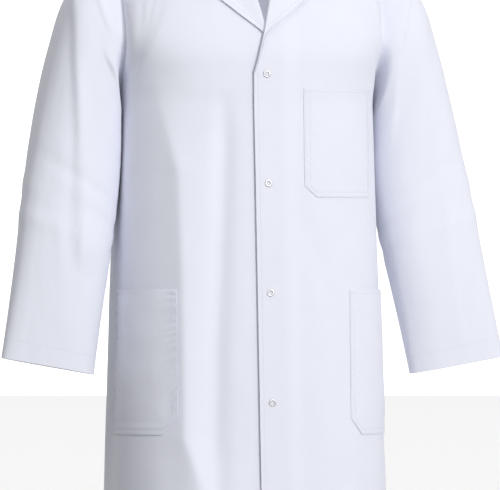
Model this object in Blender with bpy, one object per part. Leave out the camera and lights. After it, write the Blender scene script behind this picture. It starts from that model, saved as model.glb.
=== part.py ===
"""Lab coat with a turned collar, patch pockets and ring snaps, as separate pieces of cloth and metal.

Metres, +Z up. The coat faces -Y and its wearer's left is +X. The origin is the middle of the neck
opening, level with the points where the shoulder seams meet the neck."""

import math

import bmesh
import bpy
import numpy as np

# Lengths and widths of the body
HEM_Z = -1.050
ARMPIT_Z = -0.2625
HALF_CHEST = 0.190
HALF_HEM = 0.216
HALF_SHOULDER = 0.198
DEPTH_CHEST = 0.145  # from the side seams forward, and back
DEPTH_HEM = 0.178
ROUNDNESS = 2.3  # exponent of the oval that each level of the body follows

# Neck and shoulders
NECK_HALF = 0.075
NECK_RISE = 0.005
SHOULDER_SLOPE = math.radians(22)
ARMHOLE_HALF_DEPTH = 0.070
FRONT_ARCH = (-0.200, 1.7)  # height where the chest starts to lean back, and how round it is
BACK_ARCH = (-0.150, 2.0)

# Closing
LAP = 0.019  # each front passes the centre line by this much
CUT_Z = -0.205  # the fronts swing below this level
CUT_DROP = (0.20, 0.44)  # turns between which the cut drops to the armpit
CUT_GAP = 0.0015
BREAK_Z = -0.219
SNAP_STEP = 0.1625
SNAPS = 4

# Cloth
CLOTH = 0.0009
PLY = 0.0012  # from one ply to the next
SEAM_GAP = 0.0003
LIFT = 0.0046  # the left front stands this far over the right one, for the snaps
LIFT_ENDS = (0.0225, 0.0525)
RIGHT_LAPEL_OFFSET = 0.00192

# Pockets: inner edge, upper and lower edge, and the cut corner
POCKET_OFFSET = 0.0024
CHEST_POCKET = {"inner": 0.0575, "outer": 0.168, "top": -0.2385, "bottom": -0.402, "corner": 0.017}
LOWER_POCKET = {"inner": 0.130, "outer": None, "top": -0.5385, "bottom": -0.7545, "corner": 0.024}
SIDE_MARGIN = 0.05  # of the way from the side seam to the centre line
CORNER_REACH = 0.10  # width over which a cut corner's drop is counted

# Ring snaps
RING_R = 0.0053
RING_HOLE_R = 0.0030
RING_HEIGHT = 0.0011
SOCKET_R = 0.0050
SOCKET_HOLE_R = 0.0027
SOCKET_LOW = 0.0019  # height of its lower face over the body
STUD_R = 0.0022
STUD_BORE_R = 0.0009
STUD_FLANGE = 0.0004
STUD_HEIGHT = 0.0017
BACK_RING_HEIGHT = 0.0009
SNAP_SIDES = 12

# Sleeves
SLEEVE_SIDES = 20
SHOULDER_TIP = (0.200, 0.0, -0.055)

# Hanger loop
LOOP_AT = (0.0, 0.062, -0.020)
LOOP_HALF = 0.028
LOOP_DROP = 0.020
TAPE = 0.006


def blend(t):
    """Eased step from 0 to 1."""
    t = min(max(t, 0.0), 1.0)
    return t * t * (3 - 2 * t)


def along(stations, t):
    """Smooth curve through the stations, read at t from 0 to 1."""
    points = np.array(stations, float)
    last = len(points) - 1
    place = min(max(t, 0.0), 1.0) * last
    i = min(int(place), last - 1)
    f = place - i
    before = points[i - 1] if i else 2 * points[0] - points[1]
    after = points[i + 2] if i + 2 <= last else 2 * points[last] - points[last - 1]
    a, b = points[i], points[i + 1]
    bend = (2 * before - 5 * a + 4 * b - after) * f * f
    twist = (3 * a - before - 3 * b + after) * f * f * f
    return 0.5 * (2 * a + (b - before) * f + bend + twist)


# The shape that the cloth hangs in


def half_width(z):
    below = max(0.0, ARMPIT_Z - z) / (ARMPIT_Z - HEM_Z)
    above = max(0.0, z - ARMPIT_Z) / (SHOULDER_TIP[2] - ARMPIT_Z)
    return HALF_CHEST + (HALF_HEM - HALF_CHEST) * below + (HALF_SHOULDER - HALF_CHEST) * above


def half_depth(z):
    below = max(0.0, ARMPIT_Z - z) / (ARMPIT_Z - HEM_Z)
    return DEPTH_CHEST + (DEPTH_HEM - DEPTH_CHEST) * below


def armhole_depth(z):
    """How far the armhole's edge stands before the side line, growing from the armpit up."""
    middle = (ARMPIT_Z + SHOULDER_TIP[2]) / 2
    return ARMHOLE_HALF_DEPTH * blend((z - ARMPIT_Z) / (middle - ARMPIT_Z))


def ridge(x):
    """Height of the shoulder seam over x. Between the neck points it closes over the neck."""
    x = abs(x)
    if x < NECK_HALF:
        return NECK_RISE * (1 - (x / NECK_HALF) ** 2)
    return -(x - NECK_HALF) * math.tan(SHOULDER_SLOPE)


def arch(x, z, start, power):
    """1 up to the start height, then falling to 0 at the shoulder seam."""
    t = min(max((z - start) / (ridge(x) - start), 0.0), 1.0)
    return (1 - t**power) ** (1 / power)


def turn_at(x, z):
    """Turn that puts a point at x: 0 at the side seam, 1 at the centre line."""
    c = math.copysign(min(abs(x) / half_width(z), 1.0) ** (ROUNDNESS / 2), x)
    return math.acos(c) / (math.pi / 2)


def body_point(front, turn, z):
    angle = turn * math.pi / 2
    c, s = math.cos(angle), math.sin(angle)
    x = half_width(z) * math.copysign(abs(c) ** (2 / ROUNDNESS), c)
    edge = armhole_depth(z) if z > ARMPIT_Z else 0.0
    depth = edge + (half_depth(z) - edge) * abs(s) ** (2 / ROUNDNESS)
    depth *= arch(x, z, *(FRONT_ARCH if front else BACK_ARCH))
    return (x, -depth - SEAM_GAP if front else depth + SEAM_GAP, z)


def lift(x):
    """How far the left front stands off near the centre line."""
    low, high = LIFT_ENDS
    return LIFT * (1 - blend((x - low) / (high - low)))


def lift_of(grid):
    return np.vectorize(lift)(np.asarray(grid)[..., 0])


def cut_height(turn):
    """Upper edge of the swinging front. It drops to the armpit before the side seam."""
    low, high = CUT_DROP
    return CUT_Z + (ARMPIT_Z - CUT_Z) * blend((high - turn) / (high - low))


# Solids


def material(name, colour, roughness, metallic=0.0):
    made = bpy.data.materials.new(name)
    made.use_nodes = True
    shader = made.node_tree.nodes["Principled BSDF"]
    shader.inputs["Base Color"].default_value = (*colour, 1.0)
    shader.inputs["Roughness"].default_value = roughness
    shader.inputs["Metallic"].default_value = metallic
    return made


def pivot(name, place):
    """Empty on a joint's axis, which the moving pieces hang from."""
    empty = bpy.data.objects.new(name, None)
    empty.location = place
    empty.empty_display_size = 0.03
    bpy.context.collection.objects.link(empty)
    return empty


def add(name, points, faces, finish, parent=None):
    """Object with these world points, faces turned outwards, under its pivot where it has one."""
    mesh = bpy.data.meshes.new(name)
    origin = np.array(parent.location if parent else (0.0, 0.0, 0.0))
    mesh.from_pydata([tuple(p) for p in np.asarray(points) - origin], [], faces)
    shape = bmesh.new()
    shape.from_mesh(mesh)
    bmesh.ops.recalc_face_normals(shape, faces=shape.faces)
    shape.to_mesh(mesh)
    shape.free()
    mesh.shade_smooth()
    mesh.set_sharp_from_angle(angle=math.radians(40))
    mesh.materials.append(finish)
    made = bpy.data.objects.new(name, mesh)
    made.parent = parent
    bpy.context.collection.objects.link(made)
    return made


def outward(grid, closed=False):
    """Unit normals of a grid of points, from the differences between neighbours."""
    if closed:
        along_u = np.roll(grid, -1, 0) - np.roll(grid, 1, 0)
    else:
        along_u = np.gradient(grid, axis=0)
    normals = np.cross(along_u, np.gradient(grid, axis=1))
    normals /= np.linalg.norm(normals, axis=2, keepdims=True)
    return normals


def sheet(name, grid, low, finish, parent=None, closed=False, flip=False, thickness=CLOTH):
    """Closed cloth solid between two offsets of a grid. A closed grid is a tube with open ends."""
    grid = np.array(grid, float)
    normals = outward(grid, closed) * (-1 if flip else 1)
    low = np.broadcast_to(np.asarray(low, float), grid.shape[:2])[..., None]
    inner, outer = grid + normals * low, grid + normals * (low + thickness)
    columns, rows = grid.shape[:2]
    points = np.concatenate([inner.reshape(-1, 3), outer.reshape(-1, 3)])
    far = columns * rows

    def at(i, j):
        return (i % columns) * rows + j

    faces = []
    spans = columns if closed else columns - 1
    for i in range(spans):
        for j in range(rows - 1):
            a, b, c, d = at(i, j), at(i + 1, j), at(i + 1, j + 1), at(i, j + 1)
            faces += [(a, b, c), (a, c, d), (c + far, b + far, a + far), (d + far, c + far, a + far)]
        for j in (0, rows - 1):
            faces.append((at(i, j), at(i + 1, j), at(i + 1, j) + far, at(i, j) + far))
    if not closed:
        for i in (0, columns - 1):
            for j in range(rows - 1):
                faces.append((at(i, j), at(i, j + 1), at(i, j + 1) + far, at(i, j) + far))
    return add(name, points, faces, finish, parent)


def mirrored(grid):
    return np.array(grid) * (-1, 1, 1)


def front_columns(lap):
    """Places across a front: x near the centre line, then shares of the way to the side seam."""
    near = [-lap, 0.0, LIFT_ENDS[0], 0.0325, 0.0425, LIFT_ENDS[1]]
    return near, [0.87, 0.74, 0.61, 0.48, 0.36, 0.24, 0.12, 0.0]


def front_turns(z, lap):
    near, shares = front_columns(lap)
    turns = [turn_at(x, z) for x in near]
    return turns + [turns[-1] * share for share in shares]


def swinging_grid(count=None):
    """Points of a front below its cut, from the centre edge to the side seam."""
    top_turns = front_turns(CUT_Z, LAP)
    tops = [cut_height(turn) - CUT_GAP for turn in top_turns]
    rows = 13
    grid = []
    for i, top in enumerate(tops[:count]):
        column = []
        for j in range(rows):
            z = HEM_Z + (top - HEM_Z) * (1 - (1 - j / (rows - 1)) ** 1.6)
            column.append(body_point(True, front_turns(z, LAP)[i], z))
        grid.append(column)
    return np.array(grid)


ROLL = [(-0.0145, CUT_Z), (-0.002, -0.160), (0.0125, -0.105), (0.030, -0.060), (0.044, -0.030)]
NECK_EDGE = ROLL + [(0.060, -0.010), (NECK_HALF, ridge(NECK_HALF))]
LAPEL_EDGE = [
    (-0.004, CUT_Z + 0.002),
    (0.006, -0.160),
    (0.042, -0.130),
    (0.070, -0.105),
    (0.088, -0.088),
    (0.078, -0.072),
    (0.068, -0.056),
]


def front_top(x):
    """Upper edge of a front over x: the roll of the lapel, the neck seam, then the shoulder seam."""
    if x >= NECK_HALF:
        return ridge(x)
    return float(np.interp(x, [p[0] for p in NECK_EDGE], [p[1] for p in NECK_EDGE]))


def back_top(x):
    if x >= NECK_HALF:
        return ridge(x)
    return -0.018 * (1 - (x / NECK_HALF) ** 2)


def rising_column(front, x_at, bottom, top_of, rows, power):
    """Points from the bottom up to the top edge, closer together where the cloth leans over."""
    top = -0.1
    for _ in range(8):
        top = top_of(x_at(top))
    column = []
    for j in range(rows):
        z = bottom + (top - bottom) * math.sin(math.pi / 2 * j / (rows - 1)) ** (2 / power)
        column.append(body_point(front, turn_at(x_at(z), z), z))
    return column


def shoulder_grid():
    """Points of the part of a front above the cut."""
    xs = [-0.0095, 0.004, 0.0140, 0.0225, 0.0325, 0.0425, LIFT_ENDS[1]]
    grid = []
    for x in xs:
        grid.append(rising_column(True, lambda z, x=x: x, CUT_Z, front_top, 9, FRONT_ARCH[1]))
    for turn in front_turns(CUT_Z, LAP)[-8:]:

        def x_at(z, turn=turn):
            return half_width(z) * math.cos(turn * math.pi / 2) ** (2 / ROUNDNESS)

        grid.append(rising_column(True, x_at, cut_height(turn), front_top, 9, FRONT_ARCH[1]))
    return np.array(grid)


def back_grid():
    xs = [SEAM_GAP, 0.038, NECK_HALF]
    levels = 8
    grid = []

    def column(x_at):
        straight = []
        for j in range(levels):
            z = HEM_Z + (ARMPIT_Z - HEM_Z) * j / levels
            straight.append(body_point(False, turn_at(x_at(z), z), z))
        return straight + rising_column(False, x_at, ARMPIT_Z, back_top, 9, BACK_ARCH[1])

    for x in xs:
        grid.append(column(lambda z, x=x: x))
    for share in (0.82, 0.66, 0.50, 0.34, 0.17, 0.0):
        turn = turn_at(NECK_HALF, ARMPIT_Z) * share

        def x_at(z, turn=turn):
            return half_width(z) * math.cos(turn * math.pi / 2) ** (2 / ROUNDNESS)

        grid.append(column(x_at))
    return np.array(grid)


def pocket_grid(pocket):
    """Points of a patch pocket, whose inner lower corner is cut off."""
    columns, rows = 8, 7
    grid = []
    for i in range(columns):
        share = i / (columns - 1)
        column = []
        for j in range(rows):
            corner = pocket["corner"]
            bottom = pocket["bottom"] + max(0.0, corner - share * CORNER_REACH)
            z = bottom + (pocket["top"] - bottom) * j / (rows - 1)
            first = turn_at(pocket["inner"], z)
            last = turn_at(pocket["outer"], z) if pocket["outer"] else SIDE_MARGIN
            column.append(body_point(True, first + (last - first) * share, z))
        grid.append(column)
    return np.array(grid)


def lapel_grid():
    """Points of a lapel lying on the chest, from its roll to its outer edge."""
    columns, rows = 6, 10
    grid = np.zeros((columns, rows, 3))
    for j in range(rows):
        edge = along(LAPEL_EDGE, j / (rows - 1))
        z = edge[1]
        roll = float(np.interp(z, [p[1] for p in ROLL], [p[0] for p in ROLL]))
        for i in range(columns):
            x = roll + (edge[0] - roll) * i / (columns - 1)
            grid[i, j] = body_point(True, turn_at(x, z), z)
    return grid


COLLAR_SEAM = [
    (0.0, 0.0705, -0.012),
    (0.040, 0.060, -0.006),
    (0.069, 0.030, 0.001),
    (0.0765, -0.004, 0.003),
    (0.064, -0.038, -0.005),
    (0.047, -0.064, -0.022),
]
COLLAR_FOLD = [
    (0.0, 0.060, 0.034),
    (0.034, 0.051, 0.034),
    (0.058, 0.024, 0.031),
    (0.0645, -0.006, 0.025),
    (0.056, -0.036, 0.010),
    (0.043, -0.068, -0.018),
]
COLLAR_EDGE = [
    (0.0, 0.091, -0.022),
    (0.054, 0.084, -0.018),
    (0.092, 0.058, -0.012),
    (0.104, 0.0, -0.004),
    (0.104, -0.048, -0.018),
    (0.094, -0.088, -0.050),
]
FOLD_HALF = 0.004


def collar_section(t):
    """Path of the collar across itself: up the stand, over the fold and down the fall."""
    seam, fold, edge = (along(line, abs(t)) for line in (COLLAR_SEAM, COLLAR_FOLD, COLLAR_EDGE))
    out = np.array((fold[0], fold[1], 0.0))
    out /= np.linalg.norm(out)
    inner = fold - out * FOLD_HALF - (0, 0, FOLD_HALF / 2)
    outer = fold + out * FOLD_HALF - (0, 0, FOLD_HALF / 2)
    middle = (outer + edge) / 2 + out * 0.003 + (0, 0, 0.003)
    path = [seam, (seam + inner) / 2, inner, fold + (0, 0, FOLD_HALF / 2), outer, middle, edge]
    if t < 0:
        path = [point * (-1, 1, 1) for point in path]
    return path


# Outer and inner line of a sleeve in x and z, its middle in y, and half its depth
SLEEVE_STATIONS = [
    (0.2015, -0.0545, 0.1955, -0.2600, 0.000, 0.066),
    (0.2360, -0.0720, 0.1990, -0.2750, 0.004, 0.067),
    (0.2720, -0.1050, 0.2020, -0.2980, 0.007, 0.068),
    (0.2960, -0.1800, 0.2040, -0.3300, 0.008, 0.068),
    (0.3140, -0.2550, 0.2060, -0.3680, 0.004, 0.067),
    (0.3290, -0.3300, 0.2090, -0.4130, -0.006, 0.063),
    (0.3420, -0.4050, 0.2150, -0.4650, -0.020, 0.057),
    (0.3540, -0.4800, 0.2230, -0.5210, -0.035, 0.050),
    (0.3680, -0.5600, 0.2340, -0.5930, -0.049, 0.038),
    (0.3830, -0.6400, 0.2445, -0.6650, -0.062, 0.026),
]


def sleeve_grid():
    steps = 15
    grid = np.zeros((SLEEVE_SIDES, steps, 3))
    for j in range(steps):
        x_out, z_out, x_in, z_in, y, depth = along(SLEEVE_STATIONS, j / (steps - 1))
        middle = np.array(((x_out + x_in) / 2, y, (z_out + z_in) / 2))
        across = np.array(((x_out - x_in) / 2, 0.0, (z_out - z_in) / 2))
        for i in range(SLEEVE_SIDES):
            angle = 2 * math.pi * i / SLEEVE_SIDES
            grid[i, j] = middle + across * math.cos(angle) + np.array((0, depth * math.sin(angle), 0))
    return grid


def snap_piece(name, z, offsets, finish, parent):
    """Turned piece on the centre line. offsets lists (radius, height over the body) round its section."""
    depth = half_depth(z) + SEAM_GAP
    lean = math.atan((DEPTH_HEM - DEPTH_CHEST) / (ARMPIT_Z - HEM_Z))
    out = np.array((0.0, -math.cos(lean), math.sin(lean)))
    up = np.array((0.0, math.sin(lean), math.cos(lean)))
    centre = np.array((0.0, -depth, z))
    count = len(offsets)
    points, faces = [], []
    for i in range(SNAP_SIDES):
        angle = 2 * math.pi * i / SNAP_SIDES
        away = np.array((math.cos(angle), 0, 0)) + up * math.sin(angle)
        points += [centre + away * radius + out * height for radius, height in offsets]
        after = (i + 1) % SNAP_SIDES
        for j in range(count):
            k = (j + 1) % count
            faces.append((i * count + j, i * count + k, after * count + k, after * count + j))
    return add(name, points, faces, finish, parent)


def ring_section(outer, hole, low, height):
    """Domed ring: flat below and round above."""
    middle = (outer + hole) / 2
    return [
        (hole, low),
        (outer, low),
        (outer, low + height * 0.5),
        (middle, low + height),
        (hole, low + height * 0.5),
    ]


def snap_stud(name, z, low, finish, parent):
    """Flange with a hollow stud on it."""
    section = [
        (STUD_BORE_R, low),
        (SOCKET_R, low),
        (SOCKET_R, low + STUD_FLANGE),
        (STUD_R * 0.8, low + STUD_FLANGE),
        (STUD_R, low + STUD_HEIGHT * 0.75),
        (STUD_R * 0.7, low + STUD_HEIGHT),
        (STUD_BORE_R, low + STUD_HEIGHT),
    ]
    return snap_piece(name, z, section, finish, parent)


def hanger_loop(finish, parent):
    """Flat tape bent into a low U, which hangs from the neck seam."""
    steps = 11
    grid = np.zeros((steps, 2, 3))
    for i in range(steps):
        angle = math.pi * i / (steps - 1)
        for j, wide in enumerate((0.0, TAPE)):
            grid[i, j] = (
                (LOOP_HALF + wide) * math.cos(angle),
                LOOP_AT[1],
                LOOP_AT[2] - (LOOP_DROP + wide) * math.sin(angle),
            )
    return sheet("hanger_loop", grid, 0.0, finish, parent)


def main():
    for old in list(bpy.data.objects):
        bpy.data.objects.remove(old, do_unlink=True)

    twill = material("white_twill", (0.80, 0.83, 0.89), 0.9)
    facing = material("facing_twill", (0.76, 0.79, 0.86), 0.9)
    collar = material("collar_twill", (0.81, 0.84, 0.90), 0.9)
    patch = material("pocket_twill", (0.79, 0.82, 0.88), 0.9)
    tape = material("white_tape", (0.72, 0.74, 0.78), 0.85)
    nickel = material("nickel_plated_brass", (0.70, 0.69, 0.67), 0.3, 1.0)

    seam_x = HALF_CHEST + CLOTH
    left = pivot("left_front_hinge", (seam_x, 0, ARMPIT_Z))
    right = pivot("right_front_hinge", (-seam_x, 0, ARMPIT_Z))
    left_arm = pivot("left_sleeve_hinge", SHOULDER_TIP)
    right_arm = pivot("right_sleeve_hinge", (-SHOULDER_TIP[0], *SHOULDER_TIP[1:]))
    loop = pivot("hanger_loop_hinge", LOOP_AT)

    # Fronts that swing, with their facings
    front = swinging_grid()
    strip = swinging_grid(6)
    sheet("left_front_panel", front, lift_of(front), twill, left)
    sheet("left_front_facing", strip, lift_of(strip) - PLY, facing, left)
    sheet("right_front_panel", mirrored(front), 0.0, twill, right, flip=True)
    sheet("right_front_facing", mirrored(strip), -PLY, facing, right, flip=True)

    # The parts of the fronts over the chest, and the lapels that turn out from them
    shoulder = shoulder_grid()
    lapel = lapel_grid()
    sheet("left_front_shoulder", shoulder, lift_of(shoulder), twill)
    sheet("right_front_shoulder", mirrored(shoulder), 0.0, twill, flip=True)
    sheet("left_lapel", lapel, lift_of(lapel) + 2 * PLY, collar)
    sheet("right_lapel", mirrored(lapel), RIGHT_LAPEL_OFFSET, collar, flip=True)

    # Back and collar
    back = back_grid()
    sheet("left_back_panel", back, 0.0, twill, flip=True)
    sheet("right_back_panel", mirrored(back), 0.0, twill)
    stations = 23
    band = [collar_section(-1 + 2 * i / (stations - 1)) for i in range(stations)]
    sheet("upper_collar", band, 0.0, collar)
    sheet("under_collar", band, -PLY, facing)

    # Pockets
    chest = pocket_grid(CHEST_POCKET)
    lower = pocket_grid(LOWER_POCKET)
    sheet("chest_pocket", chest, POCKET_OFFSET, patch, left)
    sheet("left_lower_pocket", lower, POCKET_OFFSET, patch, left)
    sheet("right_lower_pocket", mirrored(lower), POCKET_OFFSET, patch, right, flip=True)

    # Sleeves
    arm = sleeve_grid()
    sheet("left_sleeve", arm, -CLOTH, twill, left_arm, closed=True, flip=True)
    sheet("right_sleeve", mirrored(arm), -CLOTH, twill, right_arm, closed=True)

    # Snaps
    on_cloth = LIFT + CLOTH + SEAM_GAP
    behind = -PLY - SEAM_GAP - BACK_RING_HEIGHT
    ring = ring_section(RING_R, RING_HOLE_R, on_cloth, RING_HEIGHT)
    socket = ring_section(SOCKET_R, SOCKET_HOLE_R, SOCKET_LOW, RING_HEIGHT)
    back_ring = ring_section(RING_R, RING_HOLE_R, behind, BACK_RING_HEIGHT)
    for i in range(SNAPS):
        z = BREAK_Z - SNAP_STEP * i
        snap_piece(f"snap_ring_{i + 1}", z, ring, nickel, left)
        snap_piece(f"snap_socket_{i + 1}", z, socket, nickel, left)
        snap_stud(f"snap_stud_{i + 1}", z, CLOTH + SEAM_GAP, nickel, right)
        snap_piece(f"snap_back_ring_{i + 1}", z, back_ring, nickel, right)

    hanger_loop(tape, loop)


main()
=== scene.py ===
import math

import bmesh
import bpy
import numpy as np
from bpy.props import FloatProperty, PointerProperty, StringProperty
from bpy.types import Operator, Panel, PropertyGroup
from mathutils import Matrix, Vector


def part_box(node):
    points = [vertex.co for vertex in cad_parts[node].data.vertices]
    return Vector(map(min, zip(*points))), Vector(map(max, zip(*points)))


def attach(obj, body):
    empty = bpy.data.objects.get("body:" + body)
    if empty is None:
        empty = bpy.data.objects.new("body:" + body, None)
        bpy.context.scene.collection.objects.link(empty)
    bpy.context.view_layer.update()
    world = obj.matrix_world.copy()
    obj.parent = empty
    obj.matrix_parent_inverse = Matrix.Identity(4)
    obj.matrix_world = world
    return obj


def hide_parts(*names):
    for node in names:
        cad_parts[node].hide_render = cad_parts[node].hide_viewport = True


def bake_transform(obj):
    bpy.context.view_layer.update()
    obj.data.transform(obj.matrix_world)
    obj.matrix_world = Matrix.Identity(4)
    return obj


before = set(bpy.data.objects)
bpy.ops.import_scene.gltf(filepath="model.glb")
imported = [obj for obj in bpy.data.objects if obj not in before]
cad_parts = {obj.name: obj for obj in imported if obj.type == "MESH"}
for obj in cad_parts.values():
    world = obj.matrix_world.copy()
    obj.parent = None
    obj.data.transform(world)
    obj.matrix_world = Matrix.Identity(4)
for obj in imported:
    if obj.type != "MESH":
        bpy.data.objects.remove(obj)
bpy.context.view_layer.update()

bl_info = {
    "name": "Lab coat looks",
    "version": (1, 0, 0),
    "blender": (4, 5, 0),
    "location": "3D View > Sidebar > Lab coat",
    "description": "Cuts, hangs and stitches the cloth of a white snap-front lab coat round its frame",
    "category": "Object",
}

# Places read from the frame, in metres
_pocket_low, _pocket_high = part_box("left_lower_pocket")
_chest_low, _chest_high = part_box("chest_pocket")
HEM_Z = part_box("left_back_panel")[0].z
SNAP_HEIGHTS = [sum(corner.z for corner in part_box(f"snap_ring_{i}")) / 2 for i in range(1, 5)]
POCKET_TOP, POCKET_BOTTOM = _pocket_high.z, _pocket_low.z
CHEST_TOP, CHEST_BOTTOM = _chest_high.z, _chest_low.z

# The oval that the body hangs in, as the frame's panels follow it
ARMPIT_Z = -0.2625
HALF_CHEST, HALF_HEM, HALF_SHOULDER = 0.190, 0.216, 0.198
DEPTH_CHEST, DEPTH_HEM = 0.145, 0.178
ROUNDNESS = 2.6
NECK_HALF, NECK_RISE = 0.075, 0.005
SHOULDER_TIP_Z = -0.055
SLOPE = math.tan(math.radians(22))
ARMHOLE_DEPTH = 0.070
FRONT_ARCH = (-0.200, 1.7)
BACK_ARCH = (-0.150, 2.0)

# The closing: how far a front laps past the centre, where its lapel breaks, and how far the left
# front stands off the right one, from its edge to where it meets the body
LAP = 0.019
BREAK_Z = -0.219
LIFT = 0.0050
LIFT_ENDS = (0.0225, 0.0525)
CLOSING_DRIFT = 0.0045
FACING_X = 0.062

# Cloth: its thickness, the room that a second ply takes, hems, and half the gap at a seam
CLOTH = 0.0006
PLY = 0.0009
HEM_BAND = 0.025
CUFF_BAND = 0.027
SEAM = 0.00025
ON_CLOTH = CLOTH + 0.00005

# Pockets: width, height, how far they stand off in the middle, cut corner, inner and outer edge. The
# lower ones end near the side seam
POCKETS = {
    "chest": (0.135, 0.164, 0.0010, 0.017, 0.0575, 0.168),
    "lower": (0.165, 0.216, 0.0022, 0.024, 0.130, None),
}
MOUTH_BAND = 0.026

# The stage: floor height, room radius, and the camera's turn, distance and shown width
FLOOR_Z = -1.3
ROOM = 32
CAMERA_TURN, CAMERA_DISTANCE, SHOWN = math.radians(-13), 12.0, 0.75

ROLL = [
    (-LAP, BREAK_Z),
    (-0.0145, -0.205),
    (-0.002, -0.160),
    (0.0125, -0.105),
    (0.030, -0.060),
    (0.044, -0.030),
]
NECK_EDGE = ROLL + [(0.060, -0.010), (NECK_HALF, 0.0)]
LAPEL_EDGE = [
    (-0.0180, -0.2170),
    (-0.0085, -0.1870),
    (0.0020, -0.1605),
    (0.0360, -0.1327),
    (0.0700, -0.1050),
    (0.0900, -0.0880),
    (0.0800, -0.0700),
    (0.0690, -0.0540),
    (0.0560, -0.0400),
]
COLLAR_SEAM = [
    (0.0, 0.0705, -0.012),
    (0.040, 0.060, -0.006),
    (0.069, 0.030, 0.001),
    (0.0765, -0.004, 0.003),
    (0.064, -0.038, -0.005),
    (0.047, -0.064, -0.022),
]
COLLAR_FOLD = [
    (0.0, 0.060, 0.034),
    (0.034, 0.051, 0.034),
    (0.058, 0.024, 0.031),
    (0.0645, -0.006, 0.025),
    (0.056, -0.036, 0.010),
    (0.043, -0.068, -0.018),
]
COLLAR_EDGE = [
    (0.0, 0.091, -0.022),
    (0.054, 0.084, -0.018),
    (0.092, 0.058, -0.012),
    (0.104, 0.0, -0.004),
    (0.104, -0.048, -0.018),
    (0.094, -0.088, -0.050),
]
FOLD_HALF = 0.004

# Outer and inner line of a sleeve in x and z, its middle in y, and half its depth
SLEEVE_STATIONS = [
    (0.2005, -0.0530, 0.1925, -0.2620, 0.000, 0.068),
    (0.2360, -0.0700, 0.1925, -0.2760, 0.002, 0.069),
    (0.2720, -0.1050, 0.1925, -0.2980, 0.004, 0.069),
    (0.2960, -0.1800, 0.1932, -0.3300, 0.004, 0.068),
    (0.3140, -0.2550, 0.1955, -0.3680, 0.001, 0.066),
    (0.3290, -0.3300, 0.2010, -0.4130, -0.008, 0.062),
    (0.3420, -0.4050, 0.2090, -0.4650, -0.021, 0.056),
    (0.3540, -0.4800, 0.2200, -0.5210, -0.035, 0.049),
    (0.3680, -0.5600, 0.2330, -0.5930, -0.049, 0.038),
    (0.3830, -0.6400, 0.2445, -0.6650, -0.062, 0.026),
]

# Creases of the sleeves' fronts: points in x and z down each line, its depth and its width
RIGHT_SLEEVE_CREASES = [
    ([(0.2700, -0.090), (0.2730, -0.205), (0.2700, -0.305), (0.2740, -0.520)], 0.0085, 0.0070),
    ([(0.2420, -0.090), (0.2310, -0.130), (0.2150, -0.180)], 0.0036, 0.0045),
    ([(0.2230, -0.150), (0.2060, -0.172), (0.1960, -0.190)], 0.0034, 0.0045),
    ([(0.2270, -0.190), (0.2120, -0.220), (0.2000, -0.250)], 0.0052, 0.0050),
    ([(0.3040, -0.440), (0.3000, -0.540), (0.3080, -0.630)], 0.0022, 0.0100),
]
LEFT_SLEEVE_CREASES = [
    ([(0.2470, -0.090), (0.2270, -0.180), (0.2150, -0.330)], 0.0044, 0.0060),
    ([(0.2240, -0.090), (0.2080, -0.150), (0.2000, -0.210)], 0.0026, 0.0050),
    ([(0.2740, -0.120), (0.2620, -0.230), (0.2560, -0.360)], 0.0020, 0.0090),
    ([(0.3000, -0.400), (0.3030, -0.500), (0.3180, -0.630)], 0.0022, 0.0100),
]


class CoatSettings(PropertyGroup):
    """Sizes and colours of the coat that a user would change."""

    cloth_colour: StringProperty(name="Cloth", description="sRGB colour of the twill", default="#EDEFFA")
    # the plies inside are the same twill made a little darker: painted shade
    shaded_facing_colour: StringProperty(
        name="Facings", description="sRGB colour of the plies inside", default="#E9ECF6"
    )
    thread_colour: StringProperty(name="Thread", description="sRGB colour of the stitches", default="#DCE0EB")
    metal_colour: StringProperty(name="Snaps", description="sRGB colour of the plating", default="#9A9A9C")
    floor_colour: StringProperty(name="Floor", description="sRGB colour of the floor", default="#F6F6F6")
    rib: FloatProperty(
        name="Twill rib", description="Spacing of the twill's ribs", default=0.0022, unit="LENGTH"
    )
    stitch: FloatProperty(
        name="Stitch", description="Length from one stitch to the next", default=0.0034, unit="LENGTH"
    )
    thread: FloatProperty(name="Thread", description="Radius of the thread", default=0.00026, unit="LENGTH")
    edge_row: FloatProperty(
        name="Edge row", description="Distance of the first row from an edge", default=0.0016, unit="LENGTH"
    )
    second_row: FloatProperty(
        name="Second row", description="Distance of the second row from an edge",
        default=0.0080, unit="LENGTH",
    )
    drape: FloatProperty(
        name="Drape", description="Depth of the hanging folds at the hem", default=0.0065, unit="LENGTH"
    )
    detail: FloatProperty(
        name="Detail", description="Distance between the cloth's points", default=0.0035, unit="LENGTH"
    )


# Numbers


def ease(t):
    t = np.clip(t, 0.0, 1.0)
    return t * t * (3 - 2 * t)


def bell(x, centre, width):
    return np.exp(-(((x - centre) / width) ** 2))


def window(z, low, high, soft):
    """1 between two heights, with soft ends."""
    return ease((z - low + soft) / (2 * soft)) * (1 - ease((z - high + soft) / (2 * soft)))


def spline(padded, i, f):
    """Smooth curve through padded stations, at share f from station i to the next."""
    before, a, b, after = (padded(i + k) for k in range(4))
    bend = (2 * before - 5 * a + 4 * b - after) * f**2
    twist = (3 * a - before - 3 * b + after) * f**3
    return 0.5 * (2 * a + (b - before) * f + bend + twist)


def along(stations, t):
    """Smooth curve through the stations, read at an array of t from 0 to 1."""
    points = np.array(stations, float)
    last = len(points) - 1
    place = np.clip(np.asarray(t, float), 0, 1) * last
    i = np.minimum(place.astype(int), last - 1)
    f = (place - i)[..., None]
    padded = np.vstack([2 * points[0] - points[1], points, 2 * points[-1] - points[-2]])
    return spline(lambda k: padded[k], i, f)


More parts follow.
